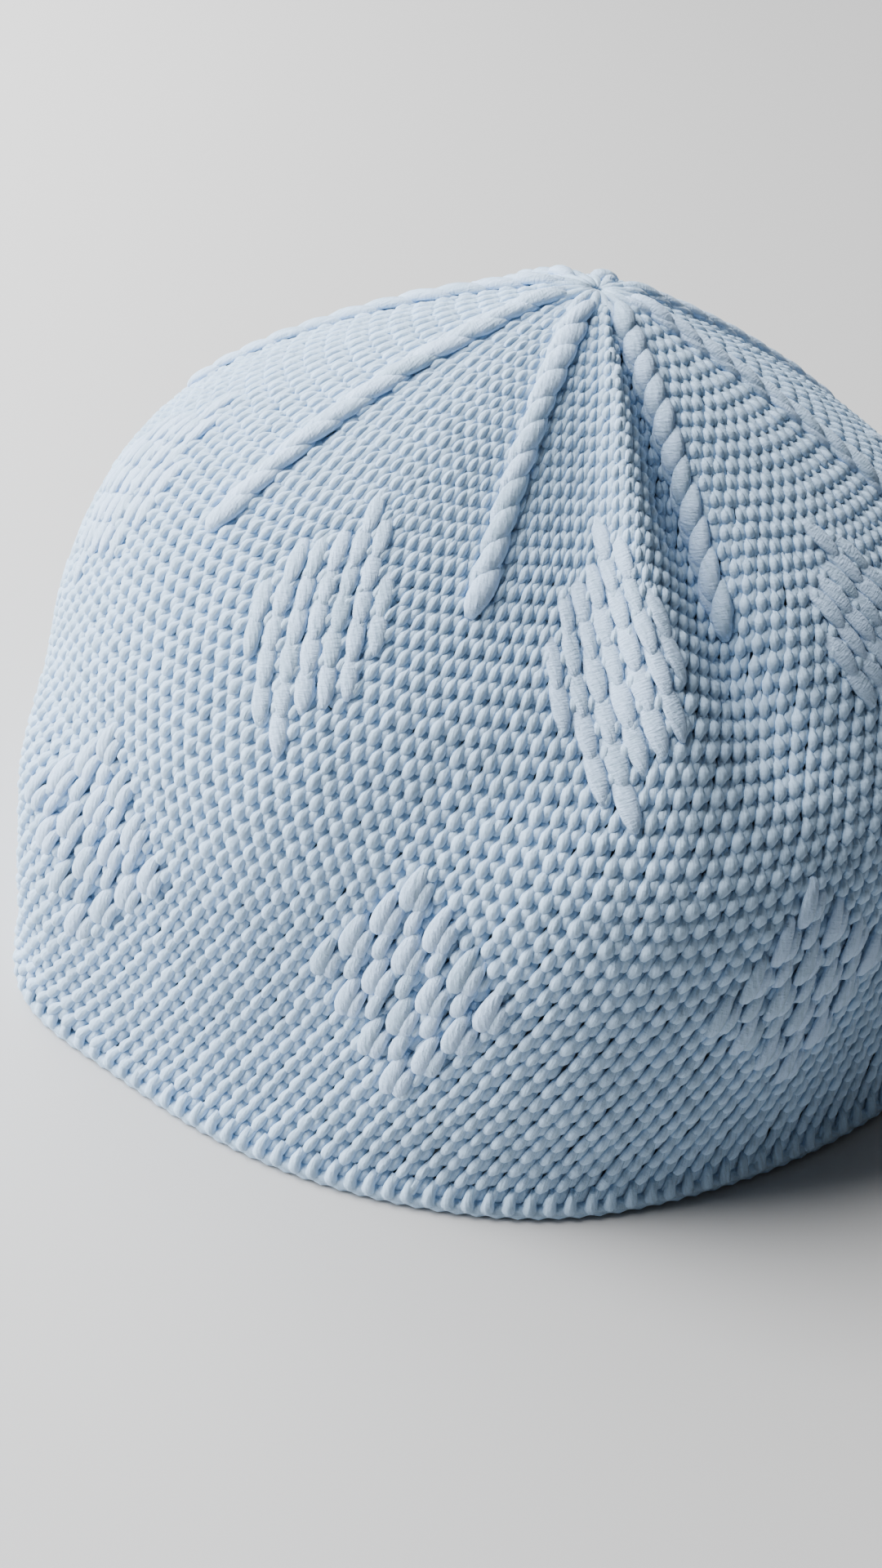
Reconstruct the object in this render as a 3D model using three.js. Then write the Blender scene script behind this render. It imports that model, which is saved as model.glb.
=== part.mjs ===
// A crocheted kufi cap, standing on its rim: a hollow soft dome with a rim edging,
// eight crown ribs and two rows of eight raised diamonds.
// Millimetres, +Z up, the front of the cap faces -Y.
import * as THREE from 'three';

// The cloth and the rim
const wallThickness = 2.6;
const pieceGap = 0.3;
const rimCordWidth = 4.0;
const rimCordHeight = 3.2;
const rimCordFlat = 2.2;

// The crochet: rounds count up from the rim, stitches go round the wall
const roundCount = 56;
const wallStitches = 160;
const repeatCount = 8;
const firstRound = 1.2;

// The first rib stands this far round from the front, towards the right
const ribAzimuth = 31.9;
const ribHalfWidth = 2.0;
const ribHeight = 1.7;
const ribEdgeHeight = 0.6;

// The diamonds are 12 stitches wide and about 14 rounds tall
const diamondHalfColumns = 3;
const diamondHalfRows = 3;
const diamondHeight = 1.0;
const diamondEdgeHeight = 0.5;

// The dome by round: mean radius and height of its outer face
const sections = [
  { round: 0, radius: 90.2, height: 0.0 },
  { round: 2, radius: 88.0, height: 5.7 },
  { round: 4, radius: 87.0, height: 11.8 },
  { round: 7, radius: 86.4, height: 20.9 },
  { round: 11, radius: 85.0, height: 33.1 },
  { round: 16, radius: 83.3, height: 48.3 },
  { round: 21, radius: 79.8, height: 63.1 },
  { round: 26, radius: 72.3, height: 76.3 },
  { round: 31, radius: 62.8, height: 88.3 },
  { round: 36, radius: 51.5, height: 98.7 },
  { round: 41, radius: 39.4, height: 108.0 },
  { round: 46, radius: 26.6, height: 116.5 },
  { round: 51, radius: 13.2, height: 123.5 },
  { round: 53.5, radius: 6.8, height: 126.1 },
  { round: 56, radius: 0.0, height: 127.0 },
];

// How far each ring is from a circle, as shares of its radius:
// oval and its turn, three-sided and its turn, four-sided and its turn
const ringShapes = [
  { round: 0, oval: -0.041, ovalTurn: -0.007, three: -0.009, threeTurn: 0.001, four: 0.010, fourTurn: -0.002 },
  { round: 20, oval: -0.023, ovalTurn: 0.011, three: -0.005, threeTurn: 0.026, four: 0.003, fourTurn: 0.0 },
  { round: 40, oval: -0.168, ovalTurn: -0.037, three: -0.009, threeTurn: 0.012, four: -0.002, fourTurn: -0.020 },
  { round: 56, oval: 0.0, ovalTurn: 0.0, three: 0.0, threeTurn: 0.0, four: 0.0, fourTurn: 0.0 },
];

// Soft folds and flats that run up the cap: azimuth at the low and the high end,
// half width in degrees, height of the fold (negative is a hollow), and its rounds
const folds = [
  { name: 'crown ridge', low: 18.3, high: 13.1, width: 7.2, height: 4.3, from: 22, to: 58 },
  { name: 'crown valley', low: 32.3, high: 21.0, width: 6.3, height: -5.5, from: 24, to: 58 },
  { name: 'wall crease', low: 4.6, high: 12.9, width: 12.9, height: 1.0, from: -8, to: 30 },
  { name: 'front flat', low: -36.6, high: -3.3, width: 16.0, height: -3.3, from: 0, to: 30 },
  { name: 'right flat', low: 44.2, high: 39.8, width: 15.7, height: -1.9, from: 0, to: 34 },
  { name: 'left corner', low: -63.4, high: -73.6, width: 12.3, height: 6.4, from: -8, to: 20 },
];
const foldFade = 8;
const foldFullRadius = 45;

// The crown leans: sideways and backwards by share of the way up, and it tips
const lean = { right: 4.28, rightMore: 6.37, back: 0.82, backMore: -1.03, tipRight: -0.157, tipBack: -0.093 };

// Rounds where the solids have a row of corners; both rows of diamonds span six rows
const cornerRounds = [
  firstRound, 3, 5, 7, 9.33, 11.67, 14, 16.33, 18.67, 21, 24, 26.43, 28.87, 31.3,
  33.73, 36.17, 38.6, 41.5, 44.5, 47.5, 50.5, 53.2,
];
const lowerDiamondMiddleRow = 6;
const upperDiamondMiddleRow = 13;
const ribFirstRow = 14;

// A column of corners for every two stitches; the two beside a rib close in on it
const columnCount = wallStitches / 2;
const columnsPerRepeat = columnCount / repeatCount;
const columnDegrees = 360 / columnCount;

const radians = THREE.MathUtils.degToRad;

function fadeIn(t) {
  return THREE.MathUtils.smoothstep(t, 0, 1);
}

// Smooth value of one named column of a table at any round
function valueAt(table, column, round) {
  const last = table.length - 1;
  const x = THREE.MathUtils.clamp(round, table[0].round, table[last].round);
  let i = 0;
  while (i < last - 1 && x >= table[i + 1].round) {
    i += 1;
  }
  const slope = (n) => {
    const before = table[Math.max(n - 1, 0)];
    const after = table[Math.min(n + 1, last)];
    return (after[column] - before[column]) / (after.round - before.round);
  };
  const span = table[i + 1].round - table[i].round;
  const t = (x - table[i].round) / span;
  const t2 = t * t;
  const t3 = t2 * t;
  return (2 * t3 - 3 * t2 + 1) * table[i][column]
    + (t3 - 2 * t2 + t) * span * slope(i)
    + (3 * t2 - 2 * t3) * table[i + 1][column]
    + (t3 - t2) * span * slope(i + 1);
}

// The dome without its folds
function domePoint(azimuth, round) {
  const shape = (column) => valueAt(ringShapes, column, round);
  const factor = 1
    + shape('oval') * Math.cos(2 * azimuth) + shape('ovalTurn') * Math.sin(2 * azimuth)
    + shape('three') * Math.cos(3 * azimuth) + shape('threeTurn') * Math.sin(3 * azimuth)
    + shape('four') * Math.cos(4 * azimuth) + shape('fourTurn') * Math.sin(4 * azimuth);
  const radius = valueAt(sections, 'radius', round) * factor;
  const t = round / roundCount;
  const x = radius * Math.sin(azimuth) + lean.right * t + lean.rightMore * t * t;
  const y = -radius * Math.cos(azimuth) + lean.back * t + lean.backMore * t * t;
  const z = valueAt(sections, 'height', round) + (lean.tipRight * x + lean.tipBack * y) * t;
  return new THREE.Vector3(x, y, z);
}

function foldHeight(azimuth, round) {
  let total = 0;
  for (const fold of folds) {
    const along = THREE.MathUtils.clamp((round - fold.from) / (fold.to - fold.from), 0, 1);
    const middle = radians(THREE.MathUtils.lerp(fold.low, fold.high, along));
    const away = Math.atan2(Math.sin(azimuth - middle), Math.cos(azimuth - middle));
    const across = Math.exp(-((away / radians(fold.width)) ** 2));
    total += fold.height * across * fadeIn((round - fold.from) / foldFade) * fadeIn((fold.to - round) / foldFade);
  }
  return total * Math.min(1, valueAt(sections, 'radius', round) / foldFullRadius);
}

function domeNormal(azimuth, round) {
  const small = 0.001;
  const safeRound = Math.min(round, roundCount - 0.5);
  const around = domePoint(azimuth + small, safeRound).sub(domePoint(azimuth - small, safeRound));
  const upward = domePoint(azimuth, safeRound + 0.05).sub(domePoint(azimuth, safeRound - 0.05));
  return around.cross(upward).normalize();
}

// A point of the cap's outer face, raised by lift along the face's normal
function capPoint(azimuth, round, lift) {
  const raise = foldHeight(azimuth, round) + lift;
  return domePoint(azimuth, round).addScaledVector(domeNormal(azimuth, round), raise);
}

// Half the angle that a rib covers at a round, and the normal column spacing below the ribs
function besideRib(round) {
  const radius = valueAt(sections, 'radius', round);
  const narrow = Math.min(THREE.MathUtils.radToDeg(ribHalfWidth / radius), 0.9 * columnDegrees * 2);
  return THREE.MathUtils.lerp(columnDegrees, narrow, fadeIn((round - 28) / 5));
}

// Azimuth of a column of corners, in radians; column 0 is the first rib's middle
function columnAzimuth(column, round) {
  const repeat = Math.floor(column / columnsPerRepeat);
  const place = column - repeat * columnsPerRepeat;
  let degrees = place * columnDegrees;
  if (place === 1) {
    degrees = besideRib(round);
  }
  if (place === columnsPerRepeat - 1) {
    degrees = columnsPerRepeat * columnDegrees - besideRib(round);
  }
  return radians(ribAzimuth + repeat * columnsPerRepeat * columnDegrees + degrees);
}

function corner(column, row, lift) {
  const round = cornerRounds[row];
  return capPoint(columnAzimuth(column, round), round, lift);
}

// Distance in columns from the middle of the nearest diamond of a row band, signed
function columnsFromDiamond(column, row) {
  const middle = row < lowerDiamondMiddleRow + diamondHalfRows ? 0 : columnsPerRepeat / 2;
  const wrapped = (column - middle) / columnsPerRepeat;
  return (wrapped - Math.round(wrapped)) * columnsPerRepeat;
}

// The two triangles of a cell of the grid; the cut follows the sides of the diamonds
function cellTriangles(column, row) {
  const lower = row < lowerDiamondMiddleRow + diamondHalfRows;
  const middleRow = lower ? lowerDiamondMiddleRow : upperDiamondMiddleRow;
  const toTheRight = columnsFromDiamond(column + 0.5, row) > 0;
  const above = row + 0.5 > middleRow;
  const a = [column, row];
  const b = [column + 1, row];
  const c = [column + 1, row + 1];
  const d = [column, row + 1];
  return toTheRight === above ? [[a, b, d], [b, c, d]] : [[a, b, c], [a, c, d]];
}

function makeMesh(name, positions, triangles, material) {
  const geometry = new THREE.BufferGeometry();
  const flat = positions.flatMap((p) => [p.x, p.y, p.z]);
  geometry.setAttribute('position', new THREE.Float32BufferAttribute(flat, 3));
  geometry.setIndex(triangles.flat());
  geometry.computeVertexNormals();
  const mesh = new THREE.Mesh(geometry, material);
  mesh.name = name;
  return mesh;
}

// The hollow dome: outer grid, inner grid, closed over the crown and round the rim
function capBody(material) {
  const positions = [];
  const triangles = [];
  const rows = cornerRounds.length;
  const number = (layer, column, row) => (layer * rows + row) * columnCount + (column % columnCount);
  for (const lift of [0, -wallThickness]) {
    for (let row = 0; row < rows; row += 1) {
      for (let column = 0; column < columnCount; column += 1) {
        const point = corner(column, row, lift);
        if (row === 0) {
          const azimuth = columnAzimuth(column, firstRound);
          const outward = domeNormal(azimuth, firstRound).setZ(0).normalize();
          point.copy(capPoint(azimuth, firstRound, 0)).addScaledVector(outward, lift);
          point.z = rimCordHeight + pieceGap;
        }
        positions.push(point);
      }
    }
  }
  const top = positions.length;
  positions.push(domePoint(0, roundCount));
  positions.push(domePoint(0, roundCount).add(new THREE.Vector3(0, 0, -wallThickness)));
  for (let column = 0; column < columnCount; column += 1) {
    for (let row = 0; row < rows - 1; row += 1) {
      for (const cell of cellTriangles(column, row)) {
        const [p, q, r] = cell.map(([c, n]) => number(0, c, n));
        const [s, t, u] = cell.map(([c, n]) => number(1, c, n));
        triangles.push([p, q, r], [s, u, t]);
      }
    }
    const next = column + 1;
    triangles.push([number(0, column, rows - 1), number(0, next, rows - 1), top]);
    triangles.push([number(1, next, rows - 1), number(1, column, rows - 1), top + 1]);
    triangles.push([number(0, next, 0), number(0, column, 0), number(1, column, 0)]);
    triangles.push([number(0, next, 0), number(1, column, 0), number(1, next, 0)]);
  }
  return makeMesh('cap_body', positions, triangles, material);
}

// A raised pad on some triangles of the grid: lower face, upper face and a side all round.
// The upper face stands at edgeHeight on the outline and at fullHeight inside it.
function raisedPad(name, patch, fullHeight, edgeHeight, material) {
  const key = ([column, row]) => `${column}:${row}`;
  const edges = new Map();
  const corners = new Map();
  for (const triangle of patch) {
    triangle.forEach((from, i) => {
      const to = triangle[(i + 1) % 3];
      corners.set(key(from), from);
      if (!edges.delete(`${key(to)}>${key(from)}`)) {
        edges.set(`${key(from)}>${key(to)}`, [from, to]);
      }
    });
  }
  const onEdge = new Set([...edges.values()].flat().map(key));
  const positions = [];
  const lower = new Map();
  const upper = new Map();
  for (const [id, [column, row]] of corners) {
    lower.set(id, positions.length);
    positions.push(corner(column, row, pieceGap));
    upper.set(id, positions.length);
    const height = onEdge.has(id) ? edgeHeight : fullHeight;
    positions.push(corner(column, row, pieceGap + height));
  }
  const triangles = [];
  for (const triangle of patch) {
    const [a, b, c] = triangle.map(key);
    triangles.push([upper.get(a), upper.get(b), upper.get(c)]);
    triangles.push([lower.get(a), lower.get(c), lower.get(b)]);
  }
  for (const [from, to] of edges.values()) {
    const a = key(from);
    const b = key(to);
    triangles.push([lower.get(a), lower.get(b), upper.get(b)]);
    triangles.push([lower.get(a), upper.get(b), upper.get(a)]);
  }
  return makeMesh(name, positions, triangles, material);
}

// A rib covers one column to each side of its middle, up to the last row of corners
function crownRib(number, material) {
  const patch = [];
  const middle = number * columnsPerRepeat;
  for (const column of [middle - 1, middle]) {
    for (let row = ribFirstRow; row < cornerRounds.length - 1; row += 1) {
      patch.push(...cellTriangles(column, row));
    }
  }
  return raisedPad(`crown_rib_${number + 1}`, patch, ribHeight, ribEdgeHeight, material);
}

function diamond(name, middleColumn, middleRow, material) {
  const patch = [];
  for (let column = -diamondHalfColumns; column < diamondHalfColumns; column += 1) {
    for (let row = -diamondHalfRows; row < diamondHalfRows; row += 1) {
      for (const triangle of cellTriangles(middleColumn + column, middleRow + row)) {
        const across = triangle.reduce((sum, c) => sum + c[0] / 3, 0) - middleColumn;
        const up = triangle.reduce((sum, c) => sum + c[1] / 3, 0) - middleRow;
        if (Math.abs(across) / diamondHalfColumns + Math.abs(up) / diamondHalfRows < 1) {
          patch.push(triangle);
        }
      }
    }
  }
  return raisedPad(name, patch, diamondHeight, diamondEdgeHeight, material);
}

// The rim edging: a flattened cord under the wall, flat where it rests
function rimEdging(material) {
  const half = rimCordWidth / 2;
  const flat = rimCordFlat / 2;
  const shoulder = rimCordHeight * 0.28;
  const outline = [
    [-flat, 0], [flat, 0], [half, shoulder], [half, rimCordHeight - shoulder],
    [flat, rimCordHeight], [-flat, rimCordHeight], [-half, rimCordHeight - shoulder], [-half, shoulder],
  ];
  const positions = [];
  const triangles = [];
  for (let column = 0; column < columnCount; column += 1) {
    const azimuth = columnAzimuth(column, firstRound);
    const outward = domeNormal(azimuth, firstRound).setZ(0).normalize();
    const middle = capPoint(azimuth, firstRound, 0).addScaledVector(outward, -wallThickness / 2 + 0.5);
    for (const [across, height] of outline) {
      positions.push(middle.clone().addScaledVector(outward, across).setZ(height));
    }
    const near = column * outline.length;
    const far = ((column + 1) % columnCount) * outline.length;
    for (let i = 0; i < outline.length; i += 1) {
      const j = (i + 1) % outline.length;
      triangles.push([near + i, far + i, far + j]);
      triangles.push([near + i, far + j, near + j]);
    }
  }
  return makeMesh('rim_edging', positions, triangles, material);
}

const yarn = new THREE.MeshStandardMaterial({ name: 'white_yarn', color: 0xd6e2ee, roughness: 0.85 });
const reliefYarn = new THREE.MeshStandardMaterial({ name: 'relief_yarn', color: 0xe6eef6, roughness: 0.8 });

const cap = new THREE.Group();
cap.name = 'kufi_cap';
cap.add(capBody(yarn));
cap.add(rimEdging(yarn));
for (let number = 0; number < repeatCount; number += 1) {
  const ribColumn = (number + 1) * columnsPerRepeat;
  const betweenColumn = ribColumn + columnsPerRepeat / 2;
  cap.add(crownRib(number, reliefYarn));
  cap.add(diamond(`lower_diamond_${number + 1}`, ribColumn, lowerDiamondMiddleRow, reliefYarn));
  cap.add(diamond(`upper_diamond_${number + 1}`, betweenColumn, upperDiamondMiddleRow, reliefYarn));
}

// The origin is the middle of the cap's box on the floor
const box = new THREE.Box3().setFromObject(cap);
const middle = box.getCenter(new THREE.Vector3());
cap.children.forEach((mesh) => mesh.geometry.translate(-middle.x, -middle.y, -box.min.z));

export default cap;
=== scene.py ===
import bpy
import numpy as np
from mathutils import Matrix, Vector


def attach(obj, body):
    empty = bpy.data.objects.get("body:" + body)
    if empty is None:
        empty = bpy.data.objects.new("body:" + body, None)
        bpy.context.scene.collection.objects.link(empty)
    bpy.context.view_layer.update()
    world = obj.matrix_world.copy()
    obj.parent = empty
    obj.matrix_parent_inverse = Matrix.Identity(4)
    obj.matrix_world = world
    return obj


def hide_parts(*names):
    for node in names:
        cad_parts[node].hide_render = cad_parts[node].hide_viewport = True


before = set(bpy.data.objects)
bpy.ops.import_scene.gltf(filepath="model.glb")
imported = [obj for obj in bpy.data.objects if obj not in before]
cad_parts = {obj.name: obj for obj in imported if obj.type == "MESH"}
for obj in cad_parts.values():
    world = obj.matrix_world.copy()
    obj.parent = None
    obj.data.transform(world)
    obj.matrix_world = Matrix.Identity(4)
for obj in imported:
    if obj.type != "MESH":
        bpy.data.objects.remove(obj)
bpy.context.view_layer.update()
mm = 0.001
dice = np.random.default_rng(7)


# Millimetres. A round counts up from the rim, an azimuth turns from the front (-Y) to the right (+X).
dome = {
    "rounds": 56.0,
    "stitches": 160,            # round the wall
    "stitchTurn": 2.25,         # degrees from a wall stitch to the next
    "repeats": 8,
    "repeatTurn": 45.0,         # degrees from a rib to the next
    "foldFade": 8,              # rounds over which a fold fades in and out
    "foldFullRadius": 45,       # folds are weaker where the dome is narrower than this
    "normalTop": 55.4,          # normals above this round are taken from it
    "widthTop": 54,             # stitch widths too
    "fullUntil": 36,            # above it every repeat loses a stitch a round
    "ribAzimuth": 31.9,
    "gridTurn": 3.34,           # stitches between the front and the stitch count's zero
    "lean": 0.555,              # a stitch stands this far to the right of the one under it
    "crownShift": 0.46,         # stitches from a rib to the first stitch beside it, where the crown starts
    "centre": (-0.347, 0.403, 0.0),
    # round, radius, height
    "sections": ((0, 90.2, 0.0), (2, 88.0, 5.7), (4, 87.0, 11.8), (7, 86.4, 20.9), (11, 85.0, 33.1),
                 (16, 83.3, 48.3), (21, 79.8, 63.1), (26, 72.3, 76.3), (31, 62.8, 88.3), (36, 51.5, 98.7),
                 (41, 39.4, 108.0), (46, 26.6, 116.5), (51, 13.2, 123.5),
                 (53.5, 6.8, 126.1), (56, 0.0, 127.0)),
    # round, then the oval, three-sided and four-sided shares of the radius, each with its turn
    "ringShapes": ((0, -0.041, -0.007, -0.009, 0.001, 0.010, -0.002),
                   (20, -0.023, 0.011, -0.005, 0.026, 0.003, 0.0),
                   (40, -0.168, -0.037, -0.009, 0.012, -0.002, -0.020),
                   (56, 0.0, 0.0, 0.0, 0.0, 0.0, 0.0)),
    # azimuth low and high, half width in degrees, height, first and last round
    "folds": ((18.3, 13.1, 7.2, 4.3, 22, 58), (32.3, 21.0, 6.3, -5.5, 24, 58),
              (4.6, 12.9, 12.9, 1.0, -8, 30), (-36.6, -3.3, 16.0, -3.3, 0, 30),
              (44.2, 39.8, 15.7, -1.9, 0, 34), (-63.4, -73.6, 12.3, 6.4, -8, 20)),
    # how the dome leans with height: right, right squared, back, back squared, tip sideways, tip back
    "tilt": (4.28, 6.37, 0.82, -1.03, -0.157, -0.093),
}


# A smooth curve through a table: cubic pieces, each row's slope is the one between its two neighbours
def smoothTable(table, column, at):
    rows = np.array(table, float)
    x = rows[:, 0]
    y = rows[:, column]
    slope = np.empty_like(y)
    slope[1:-1] = (y[2:] - y[:-2]) / (x[2:] - x[:-2])
    slope[0] = (y[1] - y[0]) / (x[1] - x[0])
    slope[-1] = (y[-1] - y[-2]) / (x[-1] - x[-2])
    at = np.clip(at, x[0], x[-1])
    i = np.clip(np.searchsorted(x, at, side="right") - 1, 0, len(x) - 2)
    gap = x[i + 1] - x[i]
    t = (at - x[i]) / gap
    low = (2 * t**3 - 3 * t**2 + 1) * y[i] + (t**3 - 2 * t**2 + t) * gap * slope[i]
    return low + (3 * t**2 - 2 * t**3) * y[i + 1] + (t**3 - t**2) * gap * slope[i + 1]


# A soft step from 0 to 1: three t squared less two t cubed
def easeStep(t):
    t = np.clip(t, 0, 1)
    return t * t * (3 - 2 * t)


# The plain dome: a circle of the section's radius, bent by the ring shapes, leaned and tipped with height
def plainDome(azimuth, rounds):
    radius = smoothTable(dome["sections"], 1, rounds)
    height = smoothTable(dome["sections"], 2, rounds)
    shape = 1.0
    for column, turns in enumerate((2, 2, 3, 3, 4, 4)):
        wave = np.cos if column % 2 == 0 else np.sin
        shape = shape + smoothTable(dome["ringShapes"], column + 1, rounds) * wave(turns * azimuth)
    t = rounds / dome["rounds"]
    right, right2, back, back2, tipSide, tipBack = dome["tilt"]
    x = radius * shape * np.sin(azimuth) + right * t + right2 * t * t
    y = -radius * shape * np.cos(azimuth) + back * t + back2 * t * t
    z = height + (tipSide * x + tipBack * y) * t
    return np.stack([x, y, z], -1)


# A unit vector square to a surface: across times along, by small differences
def squareTo(surface, azimuth, rounds):
    k = np.minimum(rounds, dome["normalTop"])
    across = surface(azimuth + 1e-3, k) - surface(azimuth - 1e-3, k)
    along = surface(azimuth, k + 0.05) - surface(azimuth, k - 0.05)
    normal = np.cross(across, along)
    return normal / np.linalg.norm(normal, axis=-1, keepdims=True)


# The folded dome: each fold is a bell across its line, faded in and out along it, pushed along the normal
def foldedDome(azimuth, rounds):
    push = 0.0
    for low, high, width, height, first, last in dome["folds"]:
        t = np.clip((rounds - first) / (last - first), 0, 1)
        line = np.radians(low + (high - low) * t)
        off = np.arctan2(np.sin(azimuth - line), np.cos(azimuth - line)) / np.radians(width)
        fadeIn = easeStep((rounds - first) / dome["foldFade"])
        fadeOut = easeStep((last - rounds) / dome["foldFade"])
        push = push + height * np.exp(-off**2) * fadeIn * fadeOut
    push = push * np.clip(smoothTable(dome["sections"], 1, rounds) / dome["foldFullRadius"], 0, 1)
    return plainDome(azimuth, rounds) + squareTo(plainDome, azimuth, rounds) * push[..., None]


# A point lifted off the folded dome along its own normal, with that normal
def onCap(azimuth, rounds, lift):
    azimuth, rounds, lift = np.broadcast_arrays(azimuth, rounds, lift)
    point = foldedDome(azimuth, rounds)
    normal = squareTo(foldedDome, azimuth, rounds)
    return point + normal * lift[..., None] - np.array(dome["centre"]), normal


# Degrees between neighbouring stitches at a round: each repeat has twenty, and fewer in the crown
def stitchDegrees(rounds):
    perRepeat = np.clip(dome["rounds"] - rounds, 0.9, 20.0)
    return dome["repeatTurn"] / perRepeat


# Millimetres between neighbouring stitches: half the way from a point a stitch left to one a stitch right
def stitchWidth(azimuth, rounds):
    step = np.radians(stitchDegrees(rounds))
    way = foldedDome(azimuth + step, rounds) - foldedDome(azimuth - step, rounds)
    return np.linalg.norm(way, axis=-1) / 2


# A closed tube for every row of arrays: a D-shaped ring, round on its outer side, carried along the
# strand's stations. side is normal cross path, up is path cross side, and a point is its station plus
# side times cosine times width plus up times sine times height.
def yarnMesh(name, centres, normals, widths, heights, sides, tone):
    count, stations = centres.shape[:2]
    path = np.gradient(centres, axis=1)
    path /= np.linalg.norm(path, axis=-1, keepdims=True)
    side = np.cross(normals, path)
    side /= np.linalg.norm(side, axis=-1, keepdims=True)
    up = np.cross(path, side)
    turn = np.radians(np.linspace(-22, 202, sides))
    ring = side[:, :, None] * (np.cos(turn) * widths[..., None])[..., None]
    ring = ring + up[:, :, None] * (np.sin(turn) * heights[..., None])[..., None]
    points = (centres[:, :, None] + ring).reshape(-1, 3) * mm
    steps = np.linalg.norm(np.diff(centres, axis=1), axis=-1)
    run = np.concatenate([np.zeros((count, 1)), np.cumsum(steps, axis=1)], axis=1)
    run = run + dice.uniform(0, 400, (count, 1))
    uv = np.stack([np.broadcast_to(run[:, :, None], (count, stations, sides)),
                   np.broadcast_to(turn / np.pi, (count, stations, sides))], -1).reshape(-1, 2)
    tones = np.broadcast_to(tone[:, None, None], (count, stations, sides)).ravel()
    start = np.arange(count)[:, None, None] * stations * sides
    i = np.arange(stations - 1)[None, :, None] * sides
    j = np.arange(sides)[None, None, :]
    k = (j + 1) % sides
    near = start + i
    far = near + sides
    quads = np.stack([near + j, near + k, far + k, far + j], -1).reshape(-1, 4)
    firstEnd = start[:, 0] + np.arange(sides)[None, ::-1]
    lastEnd = start[:, 0] + (stations - 1) * sides + np.arange(sides)[None]
    loops = np.concatenate([quads.ravel(), firstEnd.ravel(), lastEnd.ravel()])
    totals = np.concatenate([np.full(len(quads), 4), np.full(2 * count, sides)])
    return meshFrom(name, points, loops, totals, uv, tones)


# Points, loops and face sizes put into a mesh as whole arrays, smooth, with one UV map and a tone a point
def meshFrom(name, points, loops, totals, uv, tones=None):
    mesh = bpy.data.meshes.new(name)
    mesh.vertices.add(len(points))
    mesh.vertices.foreach_set("co", np.ascontiguousarray(points, np.float32).ravel())
    mesh.loops.add(len(loops))
    mesh.loops.foreach_set("vertex_index", loops.astype(np.int32))
    mesh.polygons.add(len(totals))
    starts = np.concatenate([[0], np.cumsum(totals)[:-1]])
    mesh.polygons.foreach_set("loop_start", starts.astype(np.int32))
    mesh.polygons.foreach_set("loop_total", totals.astype(np.int32))
    mesh.polygons.foreach_set("use_smooth", np.ones(len(totals), bool))
    mesh.update(calc_edges=True)
    layer = mesh.uv_layers.new(name="yarn")
    layer.data.foreach_set("uv", uv[loops].astype(np.float32).ravel())
    if tones is not None:
        attribute = mesh.attributes.new("tone", "FLOAT", "POINT")
        attribute.data.foreach_set("value", tones.astype(np.float32))
    mesh.validate()
    return mesh


# An object of that mesh, finished with a material, riding on the cap and standing for its solids
def addPiece(name, mesh, material, nodes):
    piece = bpy.data.objects.new(name, mesh)
    bpy.context.scene.collection.objects.link(piece)
    for one in material if isinstance(material, (list, tuple)) else (material,):
        mesh.materials.append(one)
    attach(piece, "root")
    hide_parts(*nodes)
    print("made", name, sum(len(p.vertices) - 2 for p in mesh.polygons), "triangles")
    return piece


# Strands from a template: station rows of (stitches right, rounds up, lift, half width, half height).
# A station stands at the stitch's own azimuth and round plus its row. Widths are shares of the stitch
# width, and lifts and heights shrink with it, to the power 0.6.
def strandsFrom(name, rows, azimuth, rounds, sides, sink=0.0, wide=1.0, tone=None):
    rows = np.broadcast_to(rows, (len(azimuth),) + rows.shape[-2:])
    k = rounds[:, None] + rows[..., 1]
    a = azimuth[:, None] + np.radians(rows[..., 0] * stitchDegrees(np.clip(k, 0, dome["widthTop"])))
    pitch = stitchWidth(azimuth, rounds)[:, None]
    flat = (pitch / stitch["fullWidth"]) ** 0.6
    lift = (rows[..., 2] - np.broadcast_to(sink, (len(azimuth),))[:, None]) * flat
    centres, normals = onCap(a, np.clip(k, 0.2, 55.6), lift)
    widths = rows[..., 3] * pitch * np.broadcast_to(wide, (len(azimuth),))[:, None]
    heights = rows[..., 4] * flat
    if tone is None:
        tone = dice.normal(0, 1, len(azimuth))
    return yarnMesh(name, centres, normals, widths, heights, sides, tone)


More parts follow.
